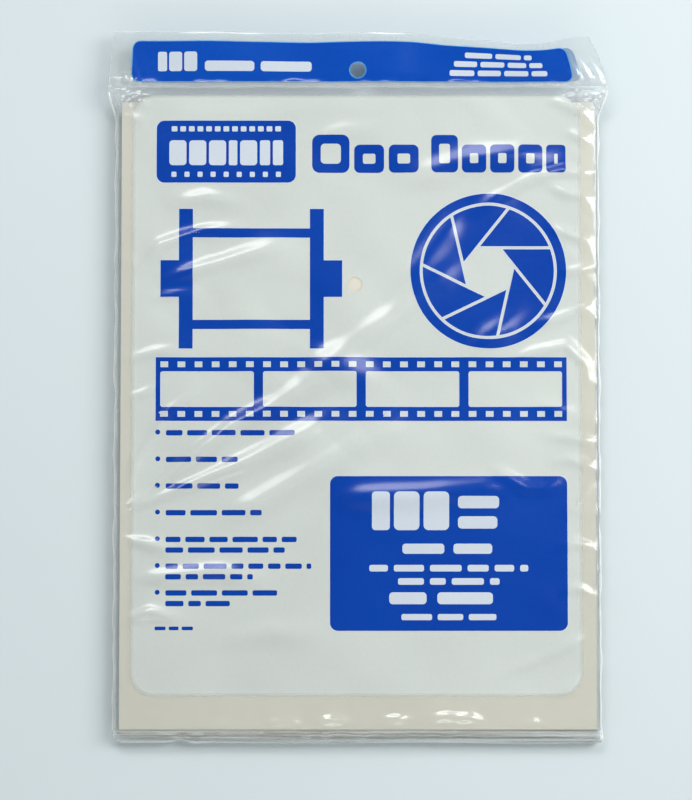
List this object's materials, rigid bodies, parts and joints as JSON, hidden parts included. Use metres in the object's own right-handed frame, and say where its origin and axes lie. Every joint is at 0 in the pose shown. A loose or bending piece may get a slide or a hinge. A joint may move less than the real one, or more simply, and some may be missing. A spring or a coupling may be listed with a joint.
{
  "type": "pack of negative storage pages",
  "caption": "Flat pack of film negative storage pages in a clear header bag with a hang hole, lying face up.",
  "frame": {"origin": "middle of the footprint, on the underside of the back film", "axes": "+X across the pages, to the right as the pack is read; +Y along the pages towards the header; +Z out of the printed front"},
  "size_m": [0.2292, 0.3246, 0.0109],
  "materials": {
    "clear_film": "clear low density polyethylene film, blown, glossy and slightly wrinkled",
    "weld_bead": "melted bead of the same film",
    "page_film": "translucent polyethylene, cream where a hundred pages lie together",
    "white_ink": "milky white flexographic ink",
    "blue_ink": "reflex blue flexographic ink"
  },
  "bodies": {
    "bag": {"front_panel": "clear_film", "back_panel": "clear_film", "bottom_wall": "clear_film", "bottom_corner_left": "clear_film", "bottom_corner_right": "clear_film", "wall_front_left": "clear_film", "wall_front_right": "clear_film", "wall_back_left": "clear_film", "wall_back_right": "clear_film", "shoulder_left": "clear_film", "shoulder_right": "clear_film", "mouth_corner_left": "clear_film", "mouth_corner_right": "clear_film", "side_weld_left": "weld_bead", "side_weld_right": "weld_bead", "header_seal": "weld_bead", "white_panel": "white_ink", "blue_block": "blue_ink", "blue_plate": "blue_ink", "aperture_print": "blue_ink", "spool_print": "blue_ink", "strip_print": "blue_ink", "list_marks": "blue_ink"},
    "header": {"header_front_ply": "clear_film", "header_back_ply": "clear_film", "header_top_fold": "clear_film", "header_weld_left": "weld_bead", "header_weld_right": "weld_bead", "front_band": "blue_ink", "back_band": "blue_ink"},
    "front_page": {"front_page_backing": "page_film", "front_page_pockets": "page_film", "front_page_label": "white_ink"},
    "page_stack": {"pages_1": "page_film", "pages_2": "page_film", "pages_3": "page_film", "pages_4": "page_film", "pages_5": "page_film", "pages_6": "page_film", "pages_7": "page_film", "pages_8": "page_film", "pages_9": "page_film"}
  },
  "joints": [
    {"name": "header_fold", "type": "hinge", "parent": "bag", "child": "header", "pos_m": [0, 0.1368, 0.01063], "axis": [1, 0, 0], "range_deg": [0, 155]},
    {"name": "front_page_slide", "type": "slide", "parent": "bag", "child": "front_page", "axis": [0, 1, 0], "range_m": [0, 0.28]},
    {"name": "page_stack_slide", "type": "slide", "parent": "bag", "child": "page_stack", "axis": [0, 1, 0], "range_m": [0, 0.28]}
  ]
}
